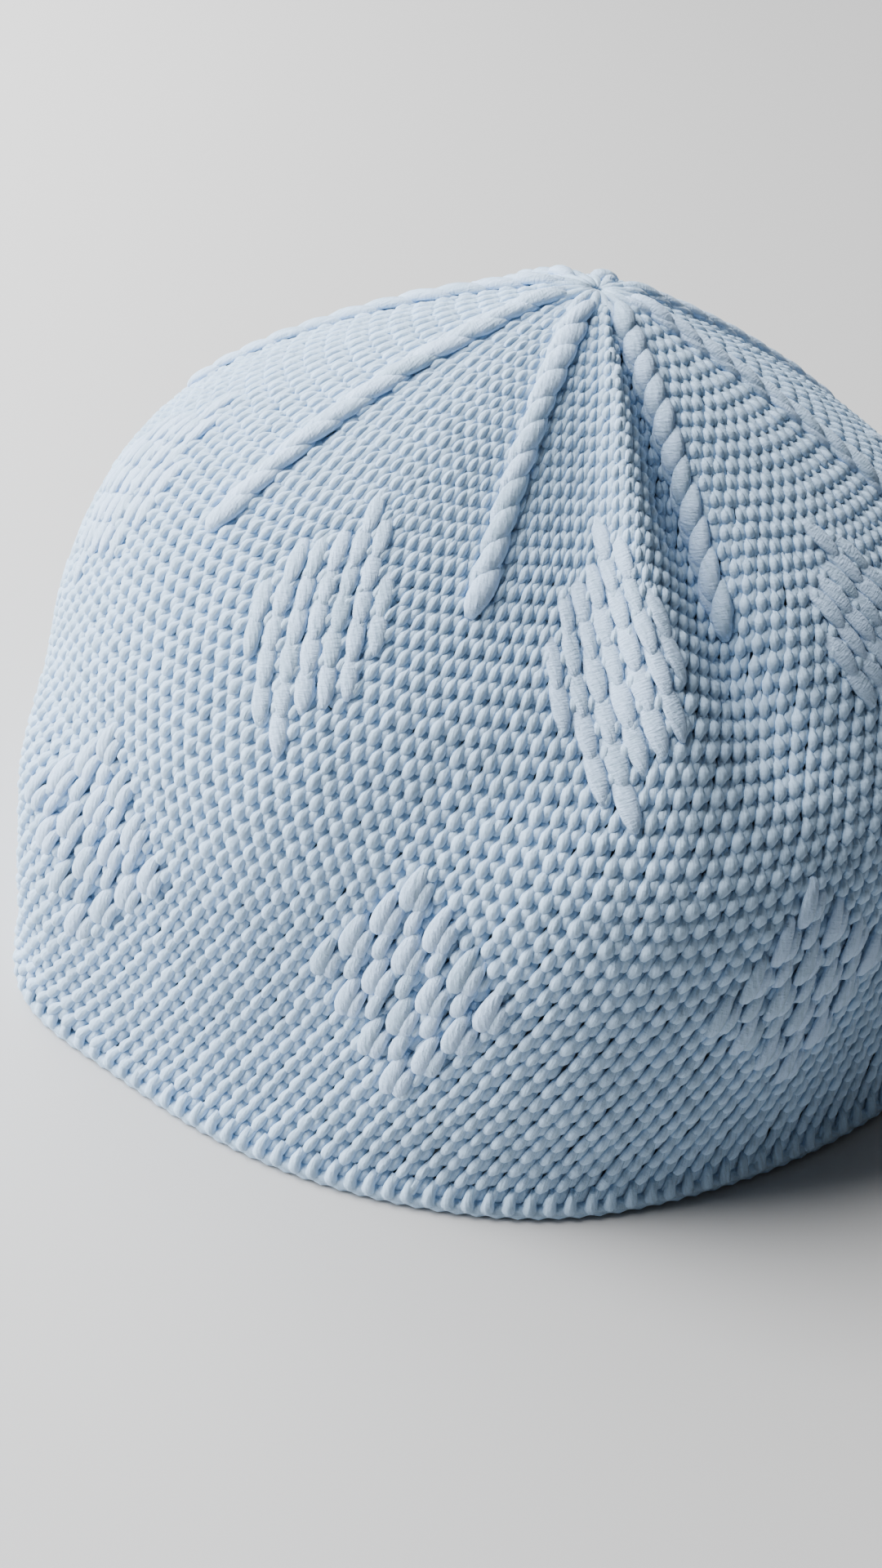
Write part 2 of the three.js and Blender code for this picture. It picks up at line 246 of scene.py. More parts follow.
# Fine plies along the strand with a slight twist, and loose fuzz. Puts out a height; a shade mask, the ply
# pattern itself, which darkens the colour where the plies' bump runs low: painted shade in the ply grooves
# along with the plies' own tone; and a crest mask that is one along the top of the strand and falls to
# nothing at its sides, which paints shade on the sides.
def fibreGroup():
    tree = bpy.data.node_groups.new("yarnFibre", "ShaderNodeTree")
    face = tree.interface
    face.new_socket("Strand", in_out="INPUT", socket_type="NodeSocketVector")
    for label, value in (("Twist", 0.10), ("Fibres", 5.5), ("Fuzz", 0.4)):
        face.new_socket(label, in_out="INPUT", socket_type="NodeSocketFloat").default_value = value
    face.new_socket("Height", in_out="OUTPUT", socket_type="NodeSocketFloat")
    face.new_socket("Shade", in_out="OUTPUT", socket_type="NodeSocketFloat")
    face.new_socket("Crest", in_out="OUTPUT", socket_type="NodeSocketFloat")
    add = tree.nodes.new
    link = tree.links.new
    inside = add("NodeGroupInput")
    outside = add("NodeGroupOutput")
    split = add("ShaderNodeSeparateXYZ")
    link(inside.outputs["Strand"], split.inputs[0])
    twist = add("ShaderNodeMath")
    twist.operation = "MULTIPLY_ADD"
    link(split.outputs["X"], twist.inputs[0])
    link(inside.outputs["Twist"], twist.inputs[1])
    link(split.outputs["Y"], twist.inputs[2])
    across = add("ShaderNodeMath")
    across.operation = "MULTIPLY"
    link(twist.outputs[0], across.inputs[0])
    link(inside.outputs["Fibres"], across.inputs[1])
    lengthwise = add("ShaderNodeMath")
    lengthwise.operation = "MULTIPLY"
    lengthwise.inputs[1].default_value = 0.5
    link(split.outputs["X"], lengthwise.inputs[0])
    place = add("ShaderNodeCombineXYZ")
    link(lengthwise.outputs[0], place.inputs["X"])
    link(across.outputs[0], place.inputs["Y"])
    fibre = add("ShaderNodeTexNoise")
    fibre.inputs["Scale"].default_value = 1.0
    fibre.inputs["Detail"].default_value = 2.0
    link(place.outputs[0], fibre.inputs["Vector"])
    fuzz = add("ShaderNodeTexNoise")
    fuzz.inputs["Scale"].default_value = 3.0
    fuzz.inputs["Detail"].default_value = 3.0
    link(inside.outputs["Strand"], fuzz.inputs["Vector"])
    blend = add("ShaderNodeMix")
    link(inside.outputs["Fuzz"], blend.inputs[0])
    link(fibre.outputs["Fac"], blend.inputs[2])
    link(fuzz.outputs["Fac"], blend.inputs[3])
    link(blend.outputs[0], outside.inputs["Height"])
    # painted shade in the ply grooves, together with the plies' own tone: the colour mask is the ply pattern
    # that also raises the bump
    link(fibre.outputs["Fac"], outside.inputs["Shade"])
    arch = add("ShaderNodeMath")
    arch.operation = "MULTIPLY"
    arch.inputs[1].default_value = np.pi
    link(split.outputs["Y"], arch.inputs[0])
    crest = add("ShaderNodeMath")
    crest.operation = "SINE"
    crest.use_clamp = True
    link(arch.outputs[0], crest.inputs[0])
    link(crest.outputs[0], outside.inputs["Crest"])
    return tree


yarnLook = {
    "white": (0.515, 0.715, 0.955),
    # the dark end of the colour: the strands' random tone, and painted shade in the ply grooves and on the
    # back strands
    "shade": (0.405, 0.565, 0.75),
    "relief": (0.52, 0.70, 0.955),
    # painted shade: the dark ground seen through the pinholes
    "under": (0.28, 0.34, 0.40),
    # painted shade on the strands' sides
    "paintedSideShade": 0.86,          # how much of the colour stays at a strand's sides
    "strandSpread": 0.10,       # how far strands differ in tone
    "darkUntil": 0.30,          # of the shade mask
    "lightFrom": 0.62,
    "bumpDepth": 0.0006,        # m
    "roughness": 0.7,
    "specular": 0.2,
    "sheen": 0.12,
}


# A yarn surface: plies as bump along the strand, colour between light and dark by ply and by strand, and
# painted shade that darkens each strand towards its sides
def yarnMaterial(name, light, dark, bump):
    material = bpy.data.materials.new(name)
    material.use_nodes = True
    tree = material.node_tree
    add = tree.nodes.new
    link = tree.links.new
    shader = tree.nodes["Principled BSDF"]
    shader.inputs["Roughness"].default_value = yarnLook["roughness"]
    shader.inputs["Sheen Weight"].default_value = yarnLook["sheen"]
    shader.inputs["Specular IOR Level"].default_value = yarnLook["specular"]
    where = add("ShaderNodeUVMap")
    where.uv_map = "yarn"
    fibre = add("ShaderNodeGroup")
    fibre.node_tree = fibres
    link(where.outputs["UV"], fibre.inputs["Strand"])
    tone = add("ShaderNodeAttribute")
    tone.attribute_name = "tone"
    spread = add("ShaderNodeMath")
    spread.operation = "MULTIPLY_ADD"
    spread.inputs[1].default_value = yarnLook["strandSpread"]
    link(tone.outputs["Fac"], spread.inputs[0])
    link(fibre.outputs["Shade"], spread.inputs[2])
    ramp = add("ShaderNodeValToRGB")
    ramp.color_ramp.elements[0].position = yarnLook["darkUntil"]
    ramp.color_ramp.elements[0].color = (*dark, 1)
    ramp.color_ramp.elements[1].position = yarnLook["lightFrom"]
    ramp.color_ramp.elements[1].color = (*light, 1)
    link(spread.outputs[0], ramp.inputs[0])
    # painted shade: the colour is scaled down towards a strand's sides, where the crest mask falls to nothing
    sides = add("ShaderNodeMapRange")
    sides.inputs["To Min"].default_value = yarnLook["paintedSideShade"]
    link(fibre.outputs["Crest"], sides.inputs["Value"])
    toneAndShade = add("ShaderNodeVectorMath")
    toneAndShade.operation = "SCALE"
    link(ramp.outputs["Color"], toneAndShade.inputs[0])
    link(sides.outputs["Result"], toneAndShade.inputs["Scale"])
    link(toneAndShade.outputs[0], shader.inputs["Base Color"])
    relief = add("ShaderNodeBump")
    relief.inputs["Strength"].default_value = bump
    relief.inputs["Distance"].default_value = yarnLook["bumpDepth"]
    link(fibre.outputs["Height"], relief.inputs["Height"])
    link(relief.outputs["Normal"], shader.inputs["Normal"])
    return material


fibres = fibreGroup()
whiteYarn = yarnMaterial("whiteYarn", yarnLook["white"], yarnLook["shade"], 0.55)
reliefYarn = yarnMaterial("reliefYarn", yarnLook["relief"], yarnLook["shade"], 0.75)


# The ground behind the stitches, seen only through the pinholes: painted dark, as painted shade for the
# shaded inside of the cap behind the holes, with a random mottle
def holeShadeMaterial():
    material = bpy.data.materials.new("paintedHoleShade")
    material.use_nodes = True
    tree = material.node_tree
    shader = tree.nodes["Principled BSDF"]
    shader.inputs["Roughness"].default_value = 0.9
    noise = tree.nodes.new("ShaderNodeTexNoise")
    where = tree.nodes.new("ShaderNodeTexCoord")
    noise.inputs["Scale"].default_value = 700.0
    ramp = tree.nodes.new("ShaderNodeValToRGB")
    ramp.color_ramp.elements[0].color = tuple(0.6 * c for c in yarnLook["under"]) + (1,)
    ramp.color_ramp.elements[1].color = (*yarnLook["under"], 1)
    tree.links.new(where.outputs["Object"], noise.inputs["Vector"])
    tree.links.new(noise.outputs["Fac"], ramp.inputs[0])
    tree.links.new(ramp.outputs["Color"], shader.inputs["Base Color"])
    return material


# The inner face: rounds as ridges and stitches as leaning bumps, worked out from the count in the UV map. The
# colour follows the same height, darker in the hollows: painted shade, with a random mottle from the noise.
def innerMaterial():
    material = bpy.data.materials.new("innerYarn")
    material.use_nodes = True
    tree = material.node_tree
    add = tree.nodes.new
    link = tree.links.new
    shader = tree.nodes["Principled BSDF"]
    shader.inputs["Roughness"].default_value = 0.75
    shader.inputs["Sheen Weight"].default_value = yarnLook["sheen"]
    where = add("ShaderNodeUVMap")
    where.uv_map = "yarn"
    split = add("ShaderNodeSeparateXYZ")
    link(where.outputs["UV"], split.inputs[0])
    leaned = add("ShaderNodeMath")
    leaned.operation = "MULTIPLY_ADD"
    leaned.inputs[1].default_value = dome["lean"]
    link(split.outputs["Y"], leaned.inputs[0])
    link(split.outputs["X"], leaned.inputs[2])
    waves = []
    for source in (leaned.outputs[0], split.outputs["Y"]):
        turned = add("ShaderNodeMath")
        turned.operation = "MULTIPLY"
        turned.inputs[1].default_value = 2 * np.pi
        link(source, turned.inputs[0])
        wave = add("ShaderNodeMath")
        wave.operation = "COSINE"
        link(turned.outputs[0], wave.inputs[0])
        waves.append(wave)
    both = add("ShaderNodeMath")
    both.operation = "ADD"
    link(waves[0].outputs[0], both.inputs[0])
    link(waves[1].outputs[0], both.inputs[1])
    fine = add("ShaderNodeTexNoise")
    fine.inputs["Scale"].default_value = 9.0
    fine.inputs["Detail"].default_value = 3.0
    link(where.outputs["UV"], fine.inputs["Vector"])
    height = add("ShaderNodeMath")
    height.operation = "MULTIPLY_ADD"
    height.inputs[1].default_value = 0.25
    link(both.outputs[0], height.inputs[0])
    link(fine.outputs["Fac"], height.inputs[2])
    # painted shade: the colour ramp runs from a darkened shade colour in the hollows to white on the ridges
    ramp = add("ShaderNodeValToRGB")
    ramp.color_ramp.elements[0].position = 0.1
    ramp.color_ramp.elements[0].color = tuple(0.72 * c for c in yarnLook["shade"]) + (1,)
    ramp.color_ramp.elements[1].position = 0.75
    ramp.color_ramp.elements[1].color = (*yarnLook["white"], 1)
    link(height.outputs[0], ramp.inputs[0])
    link(ramp.outputs["Color"], shader.inputs["Base Color"])
    relief = add("ShaderNodeBump")
    relief.inputs["Strength"].default_value = 0.9
    relief.inputs["Distance"].default_value = 0.0009
    link(height.outputs[0], relief.inputs["Height"])
    link(relief.outputs["Normal"], shader.inputs["Normal"])
    return material


print("materials ready")


ground = {
    "outerLift": -1.6,
    "innerLift": -2.6,
    "columns": 240,
    "rows": 72,
    "firstRound": 1.3,
    "topRound": 55.3,
}


# Two domes joined at the rim and closed by a fan at the crown: the outer faces out, the inner faces in
def groundMesh():
    columns = ground["columns"]
    rows = ground["rows"]
    azimuth = np.radians(np.arange(columns) * 360.0 / columns)[None]
    rounds = np.linspace(ground["firstRound"], ground["topRound"], rows)[:, None]
    outer = onCap(azimuth, rounds, ground["outerLift"])[0]
    inner = onCap(azimuth, rounds, ground["innerLift"])[0]
    outerTop = outer[-1].mean(0) + (0, 0, 0.1)
    innerTop = inner[-1].mean(0)
    points = np.concatenate([outer.reshape(-1, 3), inner.reshape(-1, 3), [outerTop, innerTop]]) * mm
    i = np.arange(rows - 1)[:, None] * columns
    j = np.arange(columns)[None]
    k = (j + 1) % columns
    wall = np.stack([i + j, i + k, i + columns + k, i + columns + j], -1).reshape(-1, 4)
    size = rows * columns
    lining = wall[:, ::-1] + size
    bottom = np.stack([j + size, k + size, k, j], -1).reshape(-1, 4)
    last = (rows - 1) * columns
    crown = np.stack([last + j, last + k, np.full_like(j, 2 * size)], -1).reshape(-1, 3)
    innerLast = last + size
    innerCrown = np.stack([innerLast + k, innerLast + j, np.full_like(j, 2 * size + 1)], -1).reshape(-1, 3)
    loops = np.concatenate([wall.ravel(), lining.ravel(), bottom.ravel(), crown.ravel(), innerCrown.ravel()])
    totals = np.concatenate([np.full(len(wall) + len(lining) + len(bottom), 4), np.full(2 * columns, 3)])
    turns = np.broadcast_to(np.degrees(azimuth) / dome["stitchTurn"], (rows, columns))
    heights = np.broadcast_to(rounds, (rows, columns))
    uv = np.stack([turns, heights], -1).reshape(-1, 2)
    uv = np.concatenate([uv, uv, [(0, dome["rounds"]), (0, dome["rounds"])]])
    mesh = meshFrom("capGround", points, loops, totals, uv)
    # the outer dome takes the painted hole shade; the lining, the rim's bottom and the inner crown take the
    # inner yarn
    inside = np.zeros(len(totals), np.int32)
    inside[len(wall):2 * len(wall) + len(bottom)] = 1
    inside[-columns:] = 1
    mesh.polygons.foreach_set("material_index", inside)
    return mesh


addPiece("capGround", groundMesh(), (holeShadeMaterial(), innerMaterial()), ["cap_body"])


motifs = {
    "ribRounds": (34.0, 54.6),
    "ribLeft": 1.2,                                     # mm kept clear each side of the rib's line
    "ribRight": 1.4,
    "lowDiamond": {"round": 14.0, "stitches": 5.6, "rounds": 6.9, "azimuth": 31.9},
    "highDiamond": {"round": 31.3, "stitches": 5.9, "rounds": 7.2, "azimuth": 9.4},
}


# Degrees from the nearest of eight places that are a repeat apart: the turn wrapped to half a repeat each way
def awayFrom(place, azimuth):
    half = dome["repeatTurn"] / 2
    return (np.degrees(azimuth) - place + half) % dome["repeatTurn"] - half


# How deep inside a diamond a stitch lies: 1 at its middle, 0 on its edge
def insideDiamond(which, azimuth, rounds):
    away = awayFrom(which["azimuth"], azimuth)
    right = np.abs(away) / stitchDegrees(rounds) / which["stitches"]
    return 1 - right - np.abs(rounds - which["round"]) / which["rounds"]


# True where a stitch stands clear of the ribs: the way in mm from the nearest rib's line is long enough
def besideRib(azimuth, rounds):
    away = np.radians(awayFrom(dome["ribAzimuth"], azimuth)) * smoothTable(dome["sections"], 1, rounds)
    return (away > motifs["ribRight"]) | (away < -motifs["ribLeft"])


# Every ground stitch: azimuth (radians) and round. On the wall one lattice leans, and in the crown each
# repeat has its own, whose stitches share the repeat's turn evenly.
def stitchPlaces(first, last):
    angles = []
    rounds = []
    for k in range(first, last + 1):
        if k <= dome["fullUntil"]:
            a = (np.arange(dome["stitches"]) + dome["lean"] * k - dome["gridTurn"]) * dome["stitchTurn"]
        else:
            number = int(dome["rounds"]) - k
            shift = (dome["crownShift"] + dome["lean"] * (k - dome["fullUntil"])) % 1
            one = (np.arange(number) + shift) / number * dome["repeatTurn"]
            starts = np.arange(dome["repeats"])[:, None] * dome["repeatTurn"]
            a = (starts + one[None]).ravel() + dome["ribAzimuth"]
        angles.append(np.radians(a))
        rounds.append(np.full(len(a), float(k)))
    return np.concatenate(angles), np.concatenate(rounds)


# Station rows: stitches right, rounds up, lift mm, half width in stitches, half height mm
stitch = {
    "cord": ((-0.16, -0.30, -0.95, 0.18, 0.50), (-0.05, -0.02, -0.50, 0.24, 0.68),
             (0.08, 0.24, -0.24, 0.30, 0.84), (0.21, 0.48, -0.30, 0.285, 0.80),
             (0.39, 0.80, -0.66, 0.21, 0.62), (0.58, 1.12, -1.05, 0.16, 0.48)),
    "blob": ((-0.17, -0.28, -0.95, 0.20, 0.50), (-0.06, -0.01, -0.58, 0.28, 0.70),
             (0.05, 0.22, -0.20, 0.355, 0.88), (0.13, 0.46, -0.22, 0.345, 0.88),
             (0.27, 0.74, -0.72, 0.24, 0.62), (0.46, 1.06, -1.10, 0.17, 0.48)),
    "wedge": ((-0.02, -0.22, -1.20, 0.16, 0.42), (0.00, -0.03, -0.42, 0.29, 0.72),
              (0.04, 0.20, -0.26, 0.31, 0.80), (0.11, 0.44, -0.42, 0.27, 0.70),
              (0.20, 0.68, -0.90, 0.19, 0.50), (0.30, 0.92, -1.35, 0.12, 0.40)),
    "recess": ((0.38, -0.04, -1.15, 0.22, 0.44), (0.55, 0.30, -0.88, 0.33, 0.56),
               (0.76, 0.64, -0.86, 0.33, 0.58), (0.99, 1.04, -1.15, 0.22, 0.44)),
    "bridge": ((0.45, 0.14, -1.08, 0.23, 0.48), (0.61, 0.44, -0.58, 0.34, 0.64),
               (0.78, 0.74, -0.58, 0.34, 0.64), (1.01, 1.14, -1.08, 0.23, 0.48)),
    "crownRecess": ((0.36, -0.26, -0.92, 0.30, 0.50), (0.47, 0.18, -0.64, 0.38, 0.60),
                    (0.60, 0.62, -0.62, 0.41, 0.62), (0.76, 1.14, -0.92, 0.30, 0.50)),
    "bands": ((1, 9), (10, 18), (19, 26), (27, 34), (35, 53)),      # first and last round of each piece
    "fullWidth": 3.2,           # mm, the stitch width that the lifts and heights belong to
    "cordUntil": 11,            # rounds: cords turn into blobs over the next nine
    "blobUntil": 33,            # and blobs into wedges over the next seven
    "diamondSink": 0.3,         # mm, ground stitches lie deeper under the lower diamonds
    # painted shade: the back strands are set darker, for the shade in the recesses between the front strands;
    # the spread is random tone
    "backShadeAndTone": (-1.0, 0.5),    # the back strands' tone and its spread
    "spread": 0.04,             # how far a stitch strays from its place, in stitches
    "unevenWidth": 0.07,
    "unevenLift": 0.07,
}


# The ground: for every band of rounds a piece of front strands and a piece of strands behind them. A
# strand's template is a mix of three by its round, a share of one plus the rest of the next.
def groundStitches():
    cord = np.array(stitch["cord"])
    blob = np.array(stitch["blob"])
    wedge = np.array(stitch["wedge"])
    recess = np.array(stitch["recess"])
    bridge = np.array(stitch["bridge"])
    crownRecess = np.array(stitch["crownRecess"])
    for number, (first, last) in enumerate(stitch["bands"], 1):
        azimuth, rounds = stitchPlaces(first, last)
        clear = besideRib(azimuth, rounds) | (rounds < motifs["ribRounds"][0] + 0.5)
        strayed = dice.normal(0, stitch["spread"], len(azimuth))
        azimuth = azimuth + np.radians(stitchDegrees(rounds)) * strayed
        rounds = rounds + dice.normal(0, stitch["spread"] * 0.7, len(rounds))
        deep = insideDiamond(motifs["lowDiamond"], azimuth, rounds)
        wide = 1 + dice.normal(0, stitch["unevenWidth"], len(azimuth))
        sink = dice.normal(0, stitch["unevenLift"], len(azimuth))
        sink = sink + stitch["diamondSink"] * easeStep(deep / 0.15)
        toBlob = easeStep((rounds - stitch["cordUntil"]) / 9)[:, None, None]
        toWedge = easeStep((rounds - stitch["blobUntil"]) / 7)[:, None, None]
        rows = (cord * (1 - toBlob) + blob * toBlob) * (1 - toWedge) + wedge * toWedge
        main = strandsFrom("yarn", rows[clear], azimuth[clear], rounds[clear], 6, sink[clear], wide[clear])
        addPiece("groundStitches%d" % number, main, whiteYarn, ["cap_body"])
        rows = (recess * (1 - toBlob) + bridge * toBlob) * (1 - toWedge) + crownRecess * toWedge
        # painted shade: the back strands' tone sits darker, for the shade of the recesses
        tone = dice.normal(*stitch["backShadeAndTone"], len(azimuth))
        back = strandsFrom("yarn", rows, azimuth, rounds, 5, sink, 1.0, tone)
        addPiece("backStitches%d" % number, back, whiteYarn, ["cap_body"])


groundStitches()


# Station rows here: stitches right (mm right on a rib), rounds up, lift, half width and half height in mm
longStrand = {
    "low": {
        "stepA": (1.5, 1.85), "stepB": (-1.5, 1.85), "count": 4, "start": (-0.45, -1.20),
        "pair": (0.62, -0.06), "third": (-1.24, 0.32),
        "leaf": ((-0.10, -0.36, -0.90, 0.50, 0.45), (-0.06, -0.06, 0.08, 1.12, 0.66),
                 (0.04, 0.32, 0.40, 1.46, 0.74), (0.17, 0.78, 0.50, 1.54, 0.76),
                 (0.33, 1.26, 0.46, 1.44, 0.72), (0.51, 1.74, 0.32, 1.22, 0.66),
                 (0.70, 2.20, 0.06, 0.92, 0.58), (0.88, 2.58, -0.70, 0.46, 0.42)),
        "second": ((-0.08, -0.30, -0.95, 0.45, 0.45), (-0.04, 0.02, -0.02, 1.05, 0.66),
                   (0.08, 0.44, 0.26, 1.28, 0.72), (0.25, 0.92, 0.28, 1.26, 0.72),
                   (0.46, 1.42, 0.08, 1.02, 0.64), (0.66, 1.90, -0.80, 0.46, 0.42))},
    "high": {
        "stepA": (1.12, 0.66), "stepB": (-0.55, 1.80),
        "leaf": ((0.11, -0.26, 0.04, 0.50, 0.38), (0.06, 0.02, 0.22, 1.04, 0.54),
                 (-0.03, 0.40, 0.26, 1.54, 0.66), (-0.18, 0.88, 0.22, 1.78, 0.70),
                 (-0.36, 1.38, 0.08, 1.76, 0.68), (-0.55, 1.86, -0.14, 1.48, 0.62),
                 (-0.70, 2.26, -0.48, 1.04, 0.52), (-0.80, 2.54, -0.96, 0.50, 0.42))},
    "rib": {
        "every": 1.8,
        "lobe": ((-0.90, -0.25, -0.35, 0.70, 0.55), (-0.80, 0.15, 0.22, 1.30, 0.92),
                 (-0.45, 0.65, 0.46, 1.66, 1.04), (0.00, 1.15, 0.52, 1.76, 1.06),
                 (0.38, 1.65, 0.44, 1.68, 1.00), (0.66, 2.15, 0.26, 1.42, 0.92),
                 (0.84, 2.60, -0.02, 1.06, 0.78), (0.95, 2.95, -0.60, 0.55, 0.50)),
        "filler": ((-1.20, -0.20, -0.80, 0.45, 0.50), (-1.45, 0.20, -0.15, 0.90, 0.80),
                   (-1.40, 0.70, 0.10, 1.10, 0.88), (-1.20, 1.25, 0.06, 1.05, 0.86),
                   (-0.95, 1.75, -0.15, 0.90, 0.80), (-0.80, 2.10, -0.80, 0.45, 0.50)),
        # sixteen short strands close the crown
        "tip": ((0.00, -0.40, -0.90, 0.45, 0.45), (0.00, 0.40, -0.45, 0.85, 0.70),
                (0.00, 1.40, -0.20, 0.95, 0.76), (0.00, 2.40, -0.20, 0.90, 0.72),
                (0.00, 3.20, -0.50, 0.60, 0.60))},
}


# Long strands: a template in stitches or mm to the right, rounds up and mm of lift, at every azimuth and
# round. The angle is the way to the right times a stitch's turn, or divided by the dome's radius.
def longStrands(name, rows, azimuth, rounds, scale, inStitches=True):
    rows = np.array(rows)
    count = len(azimuth)
    k = rounds[:, None] + rows[None, :, 1]
    if inStitches:
        step = np.radians(stitchDegrees(np.clip(k, 0, dome["widthTop"])))
    else:
        step = 1 / np.maximum(smoothTable(dome["sections"], 1, k), 3.5) * scale[:, None]
    a = azimuth[:, None] + rows[None, :, 0] * step
    lift = (rows[None, :, 2] + dice.normal(0, 0.06, (count, 1))) * scale[:, None]
    centres, normals = onCap(a, np.clip(k, 0.2, 55.7), lift)
    widths = rows[None, :, 3] * scale[:, None] * (1 + dice.normal(0, 0.06, (count, 1)))
    heights = rows[None, :, 4] * scale[:, None]
    return yarnMesh(name, centres, normals, widths, heights, 8, dice.normal(0.3, 1, count))


# Places of one repeat set round the cap eight times, each strayed by a little
def repeatRound(azimuths, rounds):
    turned = (azimuths[None] + np.radians(dome["repeatTurn"]) * np.arange(dome["repeats"])[:, None]).ravel()
    turned = turned + dice.normal(0, 0.0012, len(turned))
    return turned, np.broadcast_to(rounds, (dome["repeats"], len(rounds))).ravel()


# The names of a repeated solid: its stem with 1 to 8
def nodesOf(stem):
    return ["%s_%d" % (stem, number + 1) for number in range(dome["repeats"])]


# The lower diamond: a four by four lattice, a place is a times one step plus b times the other. Each place
# has a leaf that leans to the right as it rises, and a shorter, deeper strand beside it. Thirds fill
# between the places, inside the diamond only.
def lowDiamonds():
    kind = longStrand["low"]
    place = motifs["lowDiamond"]
    n = np.arange(kind["count"]) - (kind["count"] - 1) / 2
    a, b = (g.ravel() for g in np.meshgrid(n, n))
    right = a * kind["stepA"][0] + b * kind["stepB"][0] + kind["start"][0]
    up = a * kind["stepA"][1] + b * kind["stepB"][1] + kind["start"][1]
    strands = (
        ("lowerLeaves", kind["leaf"], (0, 0)),
        ("lowerSeconds", kind["second"], kind["pair"]),
        ("lowerThirds", kind["second"], kind["third"]),
    )
    for name, rows, moved in strands:
        azimuth = np.radians(place["azimuth"] + (right + moved[0]) * dome["stitchTurn"])
        rounds = place["round"] + up + moved[1]
        if name == "lowerThirds":
            kept = insideDiamond(place, azimuth, rounds + 0.9) > 0.02
            azimuth = azimuth[kept]
            rounds = rounds[kept]
        azimuth, rounds = repeatRound(azimuth, rounds)
        mesh = longStrands(name, rows, azimuth, rounds, np.ones(len(azimuth)))
        addPiece(name, mesh, reliefYarn, nodesOf("lower_diamond"))


# The upper diamond: columns of leaves, at every lattice place whose leaf falls inside the diamond. Leaves
# shrink with the stitch width.
def highDiamonds():
    kind = longStrand["high"]
    place = motifs["highDiamond"]
    n = np.arange(-14, 15)
    a, b = (g.ravel() for g in np.meshgrid(n, n))
    right = a * kind["stepA"][0] + b * kind["stepB"][0]
    up = a * kind["stepA"][1] + b * kind["stepB"][1]
    inside = np.abs(right) / (place["stitches"] - 0.4) + np.abs(up) / (place["rounds"] - 0.3) <= 1
    middle = place["round"] + up[inside]
    azimuth = np.radians(place["azimuth"] + (right[inside] + 0.36) * stitchDegrees(middle))
    azimuth, rounds = repeatRound(azimuth, middle - 1.1)
    scale = np.clip(stitchWidth(azimuth, rounds) / 2.9, 0.75, 1.0)
    mesh = longStrands("upperLeaves", kind["leaf"], azimuth, rounds, scale)
    addPiece("upperLeaves", mesh, reliefYarn, nodesOf("upper_diamond"))


# The crown ribs: thick lobes that overlap like shingles, and between them on the left a flatter filler.
# They narrow where the ribs come together: an eighth of the way round over 5.4 mm, from a half to one.
def crownRibs():
    kind = longStrand["rib"]
    first, last = motifs["ribRounds"]
    for name, rows, start in (("ribLobes", kind["lobe"], -0.9), ("ribFillers", kind["filler"], 0.3)):
        rounds = np.arange(first + start, last - 1.8, kind["every"])
        radius = smoothTable(dome["sections"], 1, rounds + 1.5)
        narrow = np.clip(radius * np.pi / 4 / 5.4, 0.5, 1.0)
        azimuth = np.full(len(rounds), np.radians(dome["ribAzimuth"]))
        azimuth, rounds = repeatRound(azimuth, rounds)
        mesh = longStrands(name, rows, azimuth, rounds, np.tile(narrow, dome["repeats"]), False)
        addPiece(name, mesh, reliefYarn, nodesOf("crown_rib"))
    azimuth = np.radians(dome["ribAzimuth"] + 11.25 + 22.5 * np.arange(16))
    mesh = longStrands("crownTips", kind["tip"], azimuth, np.full(16, 52.4), np.ones(16), False)
    addPiece("crownTips", mesh, whiteYarn, ["cap_body"])


lowDiamonds()
highDiamonds()
crownRibs()


rim = {
    "round": 1.2,
    "inward": 0.8,              # mm from the first round's outer face to the cord's middle
    "core": {"height": 1.55, "halfWidth": 1.75, "halfHeight": 1.45, "columns": 320, "sides": 10},
    # the upright heads of the last round: stitches right, height mm, out mm, half width mm, half height mm
    "heads": ((-0.02, 0.75, 0.3, 0.55, 0.50), (0.00, 1.35, 1.02, 1.15, 0.75),
              (0.02, 2.30, 1.25, 1.22, 0.85), (0.06, 3.40, 0.95, 1.02, 0.80),
              (0.14, 4.50, 0.45, 0.85, 0.72), (0.26, 5.60, -0.55, 0.55, 0.50)),
    # the chain below them, one link a stitch
    "links": ((-0.62, 1.15, 0.25, 0.45, 0.40), (-0.42, 1.02, 0.80, 0.80, 0.62),
              (0.0, 0.92, 1.02, 0.92, 0.74), (0.42, 1.04, 0.80, 0.80, 0.62),
              (0.62, 1.20, 0.25, 0.45, 0.40)),
    "linkTurn": 1.1,            # degrees from a head to the link beside it
}


# The rim's middle line on the floor and its level outward direction: the first round's point, moved in
def rimLine(azimuth):
    point, normal = onCap(azimuth, np.full_like(azimuth, rim["round"]), 0.0)
    out = normal.copy()
    out[..., 2] = 0
    out /= np.linalg.norm(out, axis=-1, keepdims=True)
    point = point - out * rim["inward"]
    point[..., 2] = 0
    return point, out


# Strands given in the rim's own directions: along it in stitches, up in mm and out in mm
def rimStrands(name, rows, azimuth, sides):
    rows = np.array(rows)
    a = azimuth[:, None] + np.radians(rows[None, :, 0] * dome["stitchTurn"])
    point, out = rimLine(a)
    up = np.zeros_like(point)
    up[..., 2] = rows[None, :, 1]
    centres = point + out * rows[None, :, 2:3] + up
    ones = np.ones((len(azimuth), 1))
    return yarnMesh(name, centres, out, rows[None, :, 3] * ones, rows[None, :, 4] * ones, sides,
                    dice.normal(0, 1, len(azimuth)))


